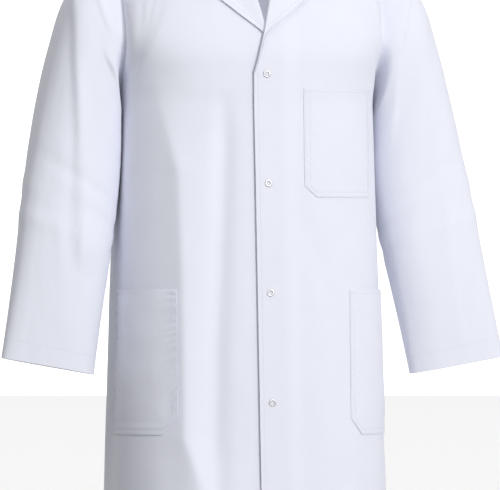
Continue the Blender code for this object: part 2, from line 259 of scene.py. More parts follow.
def soft_noise(u, v, seed, octaves=3):
    """Smooth waves without a repeat that shows, from sines in turned directions."""
    rng = np.random.default_rng(seed)
    total = np.zeros(np.broadcast(u, v).shape)
    size = 1.0
    for _ in range(octaves):
        for _ in range(4):
            angle, phase = rng.uniform(0, math.pi), rng.uniform(0, 2 * math.pi)
            pull = rng.uniform(0.75, 1.3)
            total += size * np.sin((u * math.cos(angle) + v * math.sin(angle)) * pull + phase)
        u, v, size = u * 1.9, v * 1.9, size * 0.5
    return total / 4


def mirrored(points, right):
    """Points made for the wearer's left, put on the side they belong to."""
    return points * ((-1, 1, 1) if right else (1, 1, 1))


# The hanging shape


def half_width(z):
    below = np.clip(ARMPIT_Z - z, 0, None) / (ARMPIT_Z - HEM_Z)
    above = np.clip(z - ARMPIT_Z, 0, None) / (SHOULDER_TIP_Z - ARMPIT_Z)
    return HALF_CHEST + (HALF_HEM - HALF_CHEST) * below + (HALF_SHOULDER - HALF_CHEST) * above


def half_depth(z):
    below = np.clip(ARMPIT_Z - z, 0, None) / (ARMPIT_Z - HEM_Z)
    return DEPTH_CHEST + (DEPTH_HEM - DEPTH_CHEST) * below


def armhole_depth(z):
    middle = (ARMPIT_Z + SHOULDER_TIP_Z) / 2
    return ARMHOLE_DEPTH * ease((z - ARMPIT_Z) / (middle - ARMPIT_Z))


def shoulder_line(x):
    x = np.abs(x)
    return np.where(x < NECK_HALF, NECK_RISE * (1 - (x / NECK_HALF) ** 2), -(x - NECK_HALF) * SLOPE)


def x_of(turn, z):
    c = np.cos(turn * math.pi / 2)
    return half_width(z) * np.sign(c) * np.abs(c) ** (2 / ROUNDNESS)


def turn_at(x, z):
    """Turn that puts a point at x: 0 at the side seam, 1 at the centre line."""
    c = np.sign(x) * np.clip(np.abs(x) / half_width(z), 0, 1) ** (ROUNDNESS / 2)
    return np.arccos(c) / (math.pi / 2)


def bare(front, turn, z):
    """Points of the smooth body before it folds."""
    turn, z = np.broadcast_arrays(np.asarray(turn, float), np.asarray(z, float))
    x, s = x_of(turn, z), np.sin(turn * math.pi / 2)
    edge = armhole_depth(z)
    depth = edge + (half_depth(z) - edge) * np.abs(s) ** (2 / ROUNDNESS)
    start, power = FRONT_ARCH if front else BACK_ARCH
    t = np.clip((z - start) / (shoulder_line(x) - start), 0, 1)
    depth = depth * (1 - t**power) ** (1 / power)
    y = -depth - SEAM if front else depth + SEAM
    return np.stack([x, y, z], -1)


def facing_out(front, turn, z):
    """Normals of the smooth body."""
    step = 2e-3
    turn, z = np.broadcast_arrays(np.asarray(turn, float), np.asarray(z, float))
    near = np.maximum(turn - step, 0)
    across = bare(front, near, z) - bare(front, near + 2 * step, z)
    up = bare(front, turn, z) - bare(front, turn, z - step)
    normals = np.cross(across, up)
    if not front:
        normals = -normals
    length = np.linalg.norm(normals, axis=-1, keepdims=True)
    return normals / np.maximum(length, 1e-12)


def soft_distance(d, rounding):
    """Distance from a line, rounded off where it would be sharp."""
    return np.sqrt(d * d + rounding * rounding) - rounding


def front_folds(x, z):
    """Folds of the fronts as they hang, outwards positive. x is positive on the wearer's left."""
    # the wearer's right side turns away sharply behind a long crest
    crest_heights = [-1.05, -0.84, -0.76, -0.505, -0.365, -0.28, -0.2]
    crest = np.interp(z, crest_heights, [-0.074, -0.096, -0.120, -0.122, -0.126, -0.145, -0.16])
    levels = [-1.05, -0.82, -0.70, -0.50, -0.36, -0.22]
    height = np.interp(z, levels, [0.0250, 0.0230, 0.0180, 0.0155, 0.0120, 0.0])
    past = soft_distance(x - crest, 0.005)
    reach = np.interp(z, [-1.05, -0.80, -0.70, -0.45, -0.3], [0.055, 0.045, 0.030, 0.028, 0.024])
    total = height * np.where(x < crest, np.exp(-past / reach), np.exp(-past / 0.036))
    # a hanging valley between that crest and the closing
    dip = np.interp(z, [-1.05, -0.75, -0.62, -0.45, -0.30], [-0.082, -0.084, -0.080, -0.070, -0.063])
    spread = np.interp(z, [-1.05, -0.70, -0.30], [0.022, 0.017, 0.014])
    total -= 0.0105 * np.interp(z, [-1.05, -0.6, -0.32, -0.24], [1.1, 1.0, 0.7, 0.0]) * bell(x, dip, spread)
    # the wearer's left: a slack fold below the chest pocket and two long shallow ones down the skirt
    slack = np.interp(z, [-1.05, -0.56, -0.43, -0.30], [0.118, 0.104, 0.054, 0.040])
    total -= 0.0012 * bell(x, slack, 0.018) * window(z, -1.06, -0.42, 0.06)
    total -= 0.0024 * bell(x, 0.080, 0.028) * window(z, -1.2, -0.80, 0.10)
    total += 0.0026 * bell(x, 0.130, 0.026) * window(z, -1.2, -0.78, 0.10)
    # drag lines that run down from the armholes
    for sign in (-1, 1):
        for k in range(3):
            reach = sign * x - (0.176 - 0.012 * k - (0.16 + 0.10 * k) * (z + 0.12))
            size = 0.0020 if k < 2 else 0.0012
            total -= size * bell(reach, 0.0, 0.006) * window(z, -0.245 + 0.02 * k, -0.11, 0.03)
    return total


def round_folds(point, front, drape):
    """Long folds round the body that deepen towards the hem, and slack at the side seams."""
    x, y, z = point[..., 0], point[..., 1], point[..., 2]
    angle = np.arctan2(y, x)
    down = np.clip((-0.34 - z) / 0.71, 0, 1)
    wave = 0.62 * np.sin(5 * angle + 0.8 + 0.7 * down) + 0.38 * np.sin(9 * angle - 1.1 - 0.9 * down)
    wave += 0.25 * np.sin(14 * angle + 2.0 + 1.3 * down)
    share = np.where(y < 0, 0.35 + 0.65 * ease((np.abs(x) - 0.13) / 0.05), 1.0)
    total = drape * down**1.25 * wave * share
    small = soft_noise(x * 34, z * 11, 5) * 0.00042 + soft_noise(x * 95, z * 60, 6, 2) * 0.00013
    total = total + small * ease((-z - 0.05) / 0.1)
    if not front:
        inside = ease((half_width(z) - np.abs(x)) / 0.012)
        total = total + 0.0035 * np.cos(7 * angle + 0.4) * window(z, -0.62, -0.24, 0.09) * inside
    return total


def hang(front, turn, z, offset=0.0, right=False):
    """Points of the hanging cloth at an offset outwards. Right gives the wearer's right side."""
    smooth = bare(front, turn, z)
    placed = mirrored(smooth, right)
    drape = bpy.context.scene.lab_coat.drape
    moved = round_folds(placed, front, drape) + offset
    if front:
        moved = moved + front_folds(placed[..., 0], placed[..., 2]) * ease(turn / 0.14)
    points = mirrored(smooth + facing_out(front, turn, z) * moved[..., None], right)
    if front:
        # the closing hangs a little off plumb
        down = np.clip((-0.25 - points[..., 2]) / 0.5, 0, 1.6)
        points[..., 0] += CLOSING_DRIFT * down * (1 - ease((np.abs(points[..., 0]) - 0.02) / 0.09))
    return points


def lift(x):
    low, high = LIFT_ENDS
    return LIFT * (1 - ease((x - low) / (high - low)))


# Meshes


def hex_colour(text):
    """Linear colour of an sRGB hex value."""
    values = [int(text[i : i + 2], 16) / 255 for i in (1, 3, 5)]
    return (*(v / 12.92 if v <= 0.04045 else ((v + 0.055) / 1.055) ** 2.4 for v in values), 1.0)


def lengths(grid, axis):
    steps = np.linalg.norm(np.diff(grid, axis=axis), axis=-1)
    total = np.cumsum(steps, axis=axis)
    return np.concatenate([np.zeros_like(np.take(total, [0], axis)), total], axis)


def new_piece(name, points, faces, uvs, material, sharp=55):
    """Closed mesh object with its faces outwards, smooth but for its rims."""
    points = np.asarray(points, float)
    triangles = np.array([(f[0], f[i], f[i + 1]) for f in faces for i in range(1, len(f) - 1)])
    a, b, c = (points[triangles[:, k]] for k in range(3))
    if np.einsum("ij,ij->i", a, np.cross(b, c)).sum() < 0:
        faces = [tuple(reversed(f)) for f in faces]
    mesh = bpy.data.meshes.new(name)
    mesh.from_pydata(points.tolist(), [], faces)
    layer = mesh.uv_layers.new(name="UVMap")
    index = np.zeros(len(mesh.loops), int)
    mesh.loops.foreach_get("vertex_index", index)
    layer.data.foreach_set("uv", np.asarray(uvs, float)[index].ravel())
    mesh.shade_smooth()
    mesh.set_sharp_from_angle(angle=math.radians(sharp))
    mesh.materials.append(material)
    piece = bpy.data.objects.new(name, mesh)
    bpy.context.scene.collection.objects.link(piece)
    return piece


def cloth_piece(name, inner, outer, material, closed=False):
    """Cloth between two grids of points, joined round the edge. A closed one is a tube."""
    columns, rows = inner.shape[:2]
    ring = np.vstack([outer, outer[:1]]) if closed else outer
    u, v = lengths(ring, 0), lengths(ring, 1)
    middle_u = u[:, rows // 2 : rows // 2 + 1] * np.ones((1, rows))
    uv = np.stack([middle_u[:columns], v[:columns]], -1).reshape(-1, 2)
    points = np.concatenate([inner.reshape(-1, 3), outer.reshape(-1, 3)])
    far = columns * rows
    spans = columns if closed else columns - 1
    i, j = np.meshgrid(np.arange(spans), np.arange(rows - 1), indexing="ij")
    a, b = i * rows + j, ((i + 1) % columns) * rows + j
    inside = np.stack([a, a + 1, b + 1, b], -1).reshape(-1, 4)
    outside = np.stack([a, b, b + 1, a + 1], -1).reshape(-1, 4) + far
    rims = []
    k = np.arange(spans)
    for row, turned in ((0, False), (rows - 1, True)):
        p, q = k * rows + row, ((k + 1) % columns) * rows + row
        rim = np.stack([p, q, q + far, p + far], -1)
        rims.append(rim[:, ::-1] if turned else rim)
    if not closed:
        k = np.arange(rows - 1)
        for column, turned in ((0, True), (columns - 1, False)):
            p = column * rows + k
            rim = np.stack([p, p + 1, p + 1 + far, p + far], -1)
            rims.append(rim[:, ::-1] if turned else rim)
    faces = np.concatenate([inside, outside, *rims])
    return new_piece(name, points, [tuple(f) for f in faces.tolist()], np.concatenate([uv, uv]), material)


def stitch_row(path, out, pitch, radius):
    """Points and faces of a row of stitches along a path, each a small spindle lying on the cloth."""
    path, out = np.asarray(path, float), np.asarray(out, float)
    run = np.concatenate([[0], np.cumsum(np.linalg.norm(np.diff(path, axis=0), axis=1))])
    count = int(run[-1] / pitch)
    if count < 1:
        return np.zeros((0, 3)), []
    points, faces = [], []
    shape = ((0.0, 0.30, -0.5), (0.25, 1.0, 0.55), (0.75, 1.0, 0.55), (1.0, 0.30, -0.5))
    long = 0.80 * pitch
    for k in range(count):
        start = (k + 0.1) * pitch
        rings = []
        for share, wide, high in shape:
            at = start + share * long
            centre = np.array([np.interp(at, run, path[:, c]) for c in range(3)])
            normal = np.array([np.interp(at, run, out[:, c]) for c in range(3)])
            ahead = np.array([np.interp(at + 1e-4, run, path[:, c]) for c in range(3)])
            behind = np.array([np.interp(at - 1e-4, run, path[:, c]) for c in range(3)])
            normal /= np.linalg.norm(normal)
            side = np.cross(ahead - behind, normal)
            side /= np.linalg.norm(side)
            middle = centre + normal * radius * high
            r = radius * wide
            rings.append([middle + side * r, middle + normal * r, middle - side * r, middle - normal * r])
        first = len(points)
        for ring in rings:
            points += ring
        for s in range(len(shape) - 1):
            for c in range(4):
                d = (c + 1) % 4
                base = first + 4 * s
                faces.append((base + c, base + d, base + 4 + d, base + 4 + c))
        last = first + 4 * (len(shape) - 1)
        faces.append((first + 3, first + 2, first + 1, first))
        faces.append((last, last + 1, last + 2, last + 3))
    return np.array(points), faces


def stitches(name, rows, material):
    """One object of all the stitch rows given as (path, outward normals)."""
    settings = bpy.context.scene.lab_coat
    points, faces = [], []
    for path, out in rows:
        more, quads = stitch_row(path, out, settings.stitch, settings.thread)
        first = sum(len(p) for p in points)
        points.append(more)
        faces += [tuple(i + first for i in quad) for quad in quads]
    points = np.concatenate(points)
    return new_piece(name, points, faces, points[:, [0, 2]], material, sharp=80)


# Finishes


def node(tree, kind, links=(), **values):
    """A node of this kind with its settings, inputs and links: (from socket, input name)."""
    made = tree.nodes.new(kind)
    for key, value in values.items():
        if key in made.inputs:
            made.inputs[key].default_value = value
        else:
            setattr(made, key, value)
    for source, name in links:
        tree.links.new(source, made.inputs[name])
    return made


def set_inputs(made, values):
    for name, value in values.items():
        made.inputs[name].default_value = value
    return made


def new_finish(name, **values):
    """A material with its node tree and shader, the shader's values set."""
    material = bpy.data.materials.new(name)
    material.use_nodes = True
    shader = material.node_tree.nodes["Principled BSDF"]
    set_inputs(shader, {key.replace("_", " "): value for key, value in values.items()})
    return material, material.node_tree, shader


def darker(colour, share):
    return (*(v * share for v in colour[:3]), 1.0)


def blended(tree, factor, low, high):
    """Colour between two, by a factor."""
    mix = node(tree, "ShaderNodeMix", [(factor, "Factor")], data_type="RGBA")
    mix.inputs[6].default_value, mix.inputs[7].default_value = low, high
    return mix


def ranged(tree, factor, **values):
    made = node(tree, "ShaderNodeMapRange", [(factor, "Value")])
    return set_inputs(made, {key.replace("_", " "): value for key, value in values.items()}).outputs["Result"]


def noise(tree, place, **values):
    made = node(tree, "ShaderNodeTexNoise", [(place, "Vector")])
    return set_inputs(made, values).outputs["Fac"]


def bumped(tree, links, strength, distance):
    made = node(tree, "ShaderNodeBump", links)
    return set_inputs(made, {"Strength": strength, "Distance": distance}).outputs["Normal"]


def twill(name, colour, rib, slub_and_rib_shade=0.035):
    """Cotton and polyester twill, woven and pressed: matt, with fine slanting ribs and faint slubs. The
    valleys between the ribs are painted a little darker as painted shade.
    """
    material, tree, shader = new_finish(name, Sheen_Weight=0.18, Sheen_Roughness=0.45, IOR=1.46)
    set_inputs(shader, {"Specular IOR Level": 0.25})
    uv = node(tree, "ShaderNodeUVMap", uv_map="UVMap").outputs["UV"]
    # real ribs are about 0.6 mm apart; they are drawn nearly four times as coarse so that they show
    turned = node(tree, "ShaderNodeMapping", [(uv, "Vector")])
    turned.inputs["Rotation"].default_value = (0, 0, math.radians(63))
    ribs = node(tree, "ShaderNodeTexWave", [(turned.outputs["Vector"], "Vector")], wave_profile="SIN")
    set_inputs(ribs, {"Scale": 2 * math.pi / 20 / rib, "Distortion": 1.2, "Detail": 1.0, "Detail Scale": 2.0})
    threads = noise(tree, uv, Scale=1 / 0.004, Detail=3.0, Roughness=0.6)
    cloudy = noise(tree, uv, Scale=1 / 0.045, Detail=2.0, Roughness=0.5)
    base = hex_colour(colour)
    tint = blended(tree, cloudy, darker(base, 1 - slub_and_rib_shade * 2), base)
    # painted shade: the colour is darkened along the valleys between the ribs, on top of their bump
    shade = blended(tree, ribs.outputs["Fac"], darker(base, 1 - slub_and_rib_shade), base)
    tree.links.new(tint.outputs[2], shade.inputs[7])
    tree.links.new(shade.outputs[2], shader.inputs["Base Color"])
    tree.links.new(ranged(tree, threads, To_Min=0.84, To_Max=1.0), shader.inputs["Roughness"])
    heights = node(tree, "ShaderNodeMath", [(ribs.outputs["Fac"], 0), (threads, 1)])
    heights.operation = "ADD"
    raised = bumped(tree, [(heights.outputs["Value"], "Height")], 0.22, 0.0002)
    creases = bumped(tree, [(cloudy, "Height"), (raised, "Normal")], 0.35, 0.0012)
    tree.links.new(creases, shader.inputs["Normal"])
    return material


def spun_thread(name, colour):
    """Core-spun polyester thread: matt, with a fine twist."""
    material, tree, shader = new_finish(name, Roughness=0.7, Sheen_Weight=0.2, IOR=1.5)
    place = node(tree, "ShaderNodeTexCoord").outputs["Object"]
    twist = noise(tree, place, Scale=1 / 0.0012, Detail=2.0)
    base = hex_colour(colour)
    tree.links.new(blended(tree, twist, darker(base, 0.86), base).outputs[2], shader.inputs["Base Color"])
    return material


def nickel_plate(name, colour):
    """Nickel-plated brass, stamped and tumbled: bright with soft scratches and faint dulling."""
    material, tree, shader = new_finish(name, Metallic=1.0)
    place = node(tree, "ShaderNodeTexCoord").outputs["Object"]
    dulled = noise(tree, place, Scale=1 / 0.0030, Detail=4.0)
    base = hex_colour(colour)
    tree.links.new(blended(tree, dulled, darker(base, 0.8), base).outputs[2], shader.inputs["Base Color"])
    tree.links.new(ranged(tree, dulled, To_Min=0.2, To_Max=0.42), shader.inputs["Roughness"])
    scratched = noise(tree, place, Scale=1 / 0.0006, Detail=2.0)
    tree.links.new(bumped(tree, [(scratched, "Height")], 0.15, 0.00005), shader.inputs["Normal"])
    return material


def finish_for(kind):
    """The material of this kind, made once."""
    settings = bpy.context.scene.lab_coat
    made = bpy.data.materials.get(kind)
    if made:
        return made
    if kind == "spun polyester thread":
        return spun_thread(kind, settings.thread_colour)
    if kind == "nickel-plated brass":
        return nickel_plate(kind, settings.metal_colour)
    # the plies inside get a slightly darker copy of the twill: painted shade
    colour = settings.shaded_facing_colour if kind == "white twill inside, shaded" else settings.cloth_colour
    return twill(kind, colour, settings.rib)


# Baking the pieces' placement


def bend_between(piece):
    """Bakes the piece's placement into its mesh."""
    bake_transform(piece)


# Grids of the pieces


def panel_heights(front, count, first_x, top_of, split, rows_low, rows_high):
    """Turn and height of every point of a panel whose top edge follows a curve over x."""
    share = np.linspace(0, 1, count)

    def turns(z):
        return turn_at(first_x, z) * (1 - share)

    top = np.full(count, -0.1)
    for _ in range(12):
        top = top_of(x_of(turns(top), top))
    low = np.linspace(HEM_Z, split, rows_low)[None, :] * np.ones((count, 1))
    power = (FRONT_ARCH if front else BACK_ARCH)[1]
    rise = np.sin(math.pi / 2 * np.linspace(0, 1, rows_high + 1)[1:]) ** (2 / power)
    high = split + (top[:, None] - split) * rise[None, :]
    z = np.concatenate([low, high], 1)
    turn = turn_at(first_x, z) * (1 - share)[:, None]
    return turn, z


def front_top(x):
    xs, zs = [p[0] for p in NECK_EDGE], [p[1] for p in NECK_EDGE]
    return np.where(x >= NECK_HALF, shoulder_line(x), np.interp(x, xs, zs))


def back_top(x):
    return np.where(x >= NECK_HALF, shoulder_line(x), -0.018 * (1 - (x / NECK_HALF) ** 2))


def hem_step(z):
    """How much deeper the cloth is where its hem is turned up inside."""
    return PLY * (z < HEM_Z + HEM_BAND)


def sewn_path(front, turn, z, offset, right):
    """Path on the cloth with its outward normals."""
    return hang(front, turn, z, offset, right), mirrored(facing_out(front, turn, z), right)


def line_on_front(xs, zs, offset, right, step=0.0015):
    """Path on a front through corner points given in x and z, with its outward normals."""
    xs, zs = np.asarray(xs, float), np.asarray(zs, float)
    run = np.concatenate([[0], np.cumsum(np.hypot(np.diff(xs), np.diff(zs)))])
    at = np.arange(0, run[-1], step)
    x, z = np.interp(at, run, xs), np.interp(at, run, zs)
    turn = turn_at(x, z)
    off = offset(x) if callable(offset) else offset
    return sewn_path(True, turn, z, off, right)


class COAT_OT_fronts(Operator):
    """Cut and hang the two fronts and the facings behind their edges"""

    bl_idname = "lab_coat.fronts"
    bl_label = "Fronts and facings"

    def execute(self, context):
        settings = context.scene.lab_coat
        cloth, inside = finish_for("white twill"), finish_for("white twill inside, shaded")
        thread = finish_for("spun polyester thread")
        for right in (False, True):
            side = "right" if right else "left"
            columns = int(0.31 / settings.detail)
            rows = int((BREAK_Z - HEM_Z) / settings.detail)
            turn, z = panel_heights(True, columns, -LAP, front_top, BREAK_Z - 0.004, rows, 56)
            x = x_of(turn, z)
            off = np.zeros_like(x) if right else lift(x)
            outer = hang(True, turn, z, off + CLOTH, right)
            inner = hang(True, turn, z, off - hem_step(z), right)
            panel = cloth_piece(f"{side}_front_cloth", inner, outer, cloth)
            # the facing stops just short of the hem, the lapel and the edge
            z2 = np.linspace(HEM_Z + 0.002, BREAK_Z - 0.006, rows // 2)
            x2 = np.linspace(-LAP + 0.0003, FACING_X, 24)
            x2, z2 = np.meshgrid(x2, z2, indexing="ij")
            turn2 = turn_at(x2, z2)
            off2 = (np.zeros_like(x2) if right else lift(x2)) - PLY - hem_step(z2) - 0.0001
            low = hang(True, turn2, z2, off2 - CLOTH, right)
            high = hang(True, turn2, z2, off2, right)
            facing = cloth_piece(f"{side}_facing_cloth", low, high, inside)
            # rows of stitches: along the edge and round the hem
            offset = ON_CLOTH if right else (lambda x: lift(x) + ON_CLOTH)
            hem_x = np.linspace(-LAP + 0.001, HALF_HEM - 0.0005, 60)
            rows_of = [
                line_on_front([-LAP + 0.0065] * 2, [HEM_Z + 0.001, BREAK_Z], offset, right),
                line_on_front(hem_x, [HEM_Z + HEM_BAND - 0.002] * 60, offset, right),
            ]
            sewn = stitches(f"{side}_front_stitches", rows_of, thread)
            for piece in (panel, facing, sewn):
                bend_between(piece)
            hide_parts(f"{side}_front_panel", f"{side}_front_shoulder")
            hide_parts(f"{side}_front_facing")
        return {"FINISHED"}


def roll_x_at(z):
    """Where the lapel's roll lies at a height."""
    return np.interp(z, [p[1] for p in ROLL], [p[0] for p in ROLL])


def lapel_points(t, c, right, off_side):
    """A lapel from its roll to its edge. t runs up the lapel, c across it, off_side to its face or back."""
    edge = along(LAPEL_EDGE, t)
    z = edge[..., 1]
    roll_x = roll_x_at(z)
    radius = np.interp(z, [-0.219, -0.165, -0.12, -0.06, -0.03], [0.0009, 0.0010, 0.0026, 0.0034, 0.0040])
    curl = 0.16
    angle = math.pi * np.clip(c / curl, 0, 1)
    flat = np.clip((c - curl) / (1 - curl), 0, 1)
    x = roll_x - (radius + off_side) * np.sin(angle) + (edge[..., 0] - roll_x) * flat
    settle = (2 * radius - 0.0022) * ease(flat * 1.6) * (radius > 0.0015)
    off = CLOTH + radius + 0.0003 - (radius + off_side) * np.cos(angle) - settle + 0.0016 * flat**3
    if not right:
        off = off + lift(np.maximum(x, 0))
    return hang(True, turn_at(x, z), z, off, right)


class COAT_OT_lapels(Operator):
    """Turn out the two lapels over the chest"""

    bl_idname = "lab_coat.lapels"
    bl_label = "Lapels"

    def execute(self, context):
        settings = context.scene.lab_coat
        cloth, thread = finish_for("white twill"), finish_for("spun polyester thread")
        for right in (False, True):
            side = "right" if right else "left"
            t, c = np.meshgrid(np.linspace(0, 1, 110), np.linspace(0, 1, 60), indexing="ij")
            t, c = t.T, c.T
            face, back = lapel_points(t, c, right, 0.0005), lapel_points(t, c, right, -0.0005)
            lapel = cloth_piece(f"{side}_lapel_cloth", back, face, cloth)
            rows_of = []
            for away in (settings.edge_row, settings.second_row):
                ts = np.linspace(0.14, 0.97, 240)
                edge = along(LAPEL_EDGE, ts)
                wide = np.maximum(edge[:, 0] - roll_x_at(edge[:, 1]), away * 1.3)
                cs = 1 - away * 1.15 / wide
                keep = cs > 0.25
                path = lapel_points(ts, cs, right, 0.00055)[keep]
                out = path - lapel_points(ts, cs, right, -0.0005)[keep]
                if len(path) > 4:
                    rows_of.append((path, out))
            sewn = stitches(f"{side}_lapel_stitches", rows_of, thread)
            for piece in (lapel, sewn):
                bend_between(piece)
            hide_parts(f"{side}_lapel")
        return {"FINISHED"}


def collar_points(t, c, off):
    """Points of the turned collar. t runs round the neck from -1 to 1, c up the stand and down the fall."""
    seam, fold, edge = (along(line, np.abs(t)) for line in (COLLAR_SEAM, COLLAR_FOLD, COLLAR_EDGE))
    out = fold * (1, 1, 0)
    out = out / np.linalg.norm(out, axis=-1, keepdims=True)
    drop = np.array((0, 0, FOLD_HALF / 2))
    inner, outer = fold - out * FOLD_HALF - drop, fold + out * FOLD_HALF - drop
    middle = (outer + edge) / 2 + out * 0.003 + np.array((0, 0, 0.003))
    stations = np.stack([seam, (seam + inner) / 2, inner, fold + drop, outer, middle, edge])
    last = len(stations) - 1
    place = np.clip(c, 0, 1) * last
    i = np.minimum(place.astype(int), last - 1)
    f = (place - i)[..., None]
    padded = np.concatenate([[2 * stations[0] - stations[1]], stations, [2 * stations[-1] - stations[-2]]])

    points = spline(lambda k: np.take_along_axis(padded, k[None, ..., None], 0)[0], i, f)
    points = points * np.where(t < 0, -1, 1)[..., None] ** np.array((1, 0, 0))
    normals = np.cross(np.gradient(points, axis=0), np.gradient(points, axis=1))
    normals /= np.linalg.norm(normals, axis=-1, keepdims=True)
    return points + normals * off


class COAT_OT_collar(Operator):
    """Turn the two plies of the collar over round the neck"""

    bl_idname = "lab_coat.collar"
    bl_label = "Collar"

    def execute(self, context):
        cloth, inside = finish_for("white twill"), finish_for("white twill inside, shaded")
        settings = context.scene.lab_coat
        t, c = np.meshgrid(np.linspace(-1, 1, 181), np.linspace(0, 1, 61), indexing="ij")
        face = collar_points(t, c, CLOTH)
        collar = cloth_piece("upper_collar_cloth", collar_points(t, c, 0.0), face, cloth)
        under_face = collar_points(t, c, -0.0002)
        under = cloth_piece("under_collar_cloth", collar_points(t, c, -0.0002 - CLOTH), under_face, inside)
        on, out = collar_points(t, c, ON_CLOTH), face - under_face
        rows = [int(round((1 - away / 0.075) * 60)) for away in (settings.edge_row, settings.second_row)]
        rows_of = [(on[:, row], out[:, row]) for row in rows]
        rows_of += [(on[column, 28:58], out[column, 28:58]) for column in (2, 178)]
        sewn = stitches("collar_stitches", rows_of, finish_for("spun polyester thread"))
        for piece in (collar, under, sewn):
            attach(piece, "coat_body")
        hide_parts("upper_collar")
        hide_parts("under_collar")
        return {"FINISHED"}


class COAT_OT_backs(Operator):
    """Cut and hang the two backs, joined at the centre seam"""

    bl_idname = "lab_coat.backs"
    bl_label = "Backs"

    def execute(self, context):
        settings = context.scene.lab_coat
        cloth, thread = finish_for("white twill"), finish_for("spun polyester thread")
        for right in (False, True):
            side = "right" if right else "left"
            columns = int(0.29 / settings.detail)
            rows = int((ARMPIT_Z - HEM_Z) / settings.detail)
            turn, z = panel_heights(False, columns, SEAM, back_top, ARMPIT_Z, rows, 60)
            outer = hang(False, turn, z, CLOTH, right)
            inner = hang(False, turn, z, -hem_step(z), right)
            panel = cloth_piece(f"{side}_back_cloth", inner, outer, cloth)
            zs = np.arange(HEM_Z + 0.002, -0.02, 0.002)
            # one row beside the centre seam, on the left only, and one round each hem
            beside = turn_at(np.full_like(zs, 0.005), zs)
            rows_of = [] if right else [sewn_path(False, beside, zs, CLOTH, right)]
            turns = np.linspace(0.001, 0.99, 140)
            level = np.full_like(turns, HEM_Z + HEM_BAND - 0.002)
            rows_of.append(sewn_path(False, turns, level, CLOTH, right))
            sewn = stitches(f"{side}_back_stitches", rows_of, thread)
            for piece in (panel, sewn):
                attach(piece, "coat_body")
            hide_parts(f"{side}_back_panel")
        return {"FINISHED"}


def pocket_place(kind, across, up):
    """Turn and height in a pocket. across and up run from 0 to 1 from its inner lower corner."""
    wide, _, _, corner, inner, outer = POCKETS[kind]
    top, bottom = (CHEST_TOP, CHEST_BOTTOM) if kind == "chest" else (POCKET_TOP, POCKET_BOTTOM)
    level = bottom + (top - bottom) * up
    first = turn_at(inner, level)
    last = turn_at(outer, level) if outer else np.full_like(first, 0.05)
    missing = np.clip(corner - across * wide, 0, None)
    height = bottom + missing + (top - bottom - missing) * up
    return first + (last - first) * across, height


def stand_off(kind, edge):
    """How far a pocket's middle stands off, from the distance to its edge."""
    return POCKETS[kind][2] * ease(edge / 0.05) + 0.0004 * ease(edge / 0.006)


def pocket_row(kind, across, up, right):
    """Row of stitches on a pocket."""
    wide, high = POCKETS[kind][:2]
    turn, level = pocket_place(kind, across, up)
    # the mouth's row lies near the top, where only the sides hold the cloth down
    edge = np.minimum(np.minimum(across, 1 - across) * wide, up * high)
    off = CLOTH + 0.0003 + stand_off(kind, edge) + PLY
    return sewn_path(True, turn, level, off + 0.0001, right)


class COAT_OT_pockets(Operator):
    """Sew on the chest pocket and the two lower pockets"""

    bl_idname = "lab_coat.pockets"
    bl_label = "Pockets"

    def execute(self, context):
        settings = context.scene.lab_coat
        cloth, thread = finish_for("white twill"), finish_for("spun polyester thread")
        places = (
            ("chest_pocket", "chest", False),
            ("left_lower_pocket", "lower", False),
            ("right_lower_pocket", "lower", True),
        )
        for number, (name, kind, right) in enumerate(places):
            wide, high, _, corner = POCKETS[kind][:4]
            columns, rows = int(wide / 0.0019), int(high / 0.0019)
            across, up = np.meshgrid(np.linspace(0, 1, columns), np.linspace(0, 1, rows), indexing="ij")
            turn, z = pocket_place(kind, across, up)
            edge = np.minimum(np.minimum(across, 1 - across) * wide, up * high)
            body = stand_off(kind, edge)
            # the right lower one is crumpled from use
            ripple = soft_noise(across * wide * 48, up * high * 75, 20 + number, 2)
            body = body + ripple * (0.00085 if right else 0.00026) * ease(edge / 0.012)
            pulled = np.exp(-edge / 0.012) * np.sin(up * high / 0.013 * 2 * math.pi + 2 * np.sin(up * 19))
            body = body + 0.00028 * pulled * (2.4 if right else 0.6) * ease(edge / 0.004)
            mouth = (up > 1 - MOUTH_BAND / high) * PLY
            off = CLOTH + 0.0003 + body
            outer = hang(True, turn, z, off + PLY, right)
            inner = hang(True, turn, z, off - mouth * 0.2, right)
            pocket = cloth_piece(f"{name}_cloth", inner, outer, cloth)
            rows_of = []
            for away in (settings.edge_row, settings.second_row):
                u, v = away / wide, away / high
                turned_in = (corner + away) / wide
                # down the inner side, round the cut corner, along the bottom and up the outer side
                corner_part, bottom_part = np.linspace(u, turned_in, 16), np.linspace(turned_in, 1 - u, 80)
                path_u = np.concatenate([np.full(80, u), corner_part, bottom_part, np.full(80, 1 - u)])
                rise = np.concatenate(
                    [np.linspace(0.995, v + 0.02, 80), np.full(96, v), np.linspace(v, 0.995, 80)]
                )
                rows_of.append(pocket_row(kind, path_u, rise, right))
            mouth_row = np.full(90, 1 - 0.0065 / high)
            rows_of.append(pocket_row(kind, np.linspace(0.01, 0.99, 90), mouth_row, right))
            sewn = stitches(f"{name}_stitches", rows_of, thread)
            for piece in (pocket, sewn):
                bend_between(piece)
            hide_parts(name)
        return {"FINISHED"}


def station_reach(v):
    """How far the sleeve has left the armhole's edge by v."""
    return 0.22 * np.clip(v, 0, 0.2)


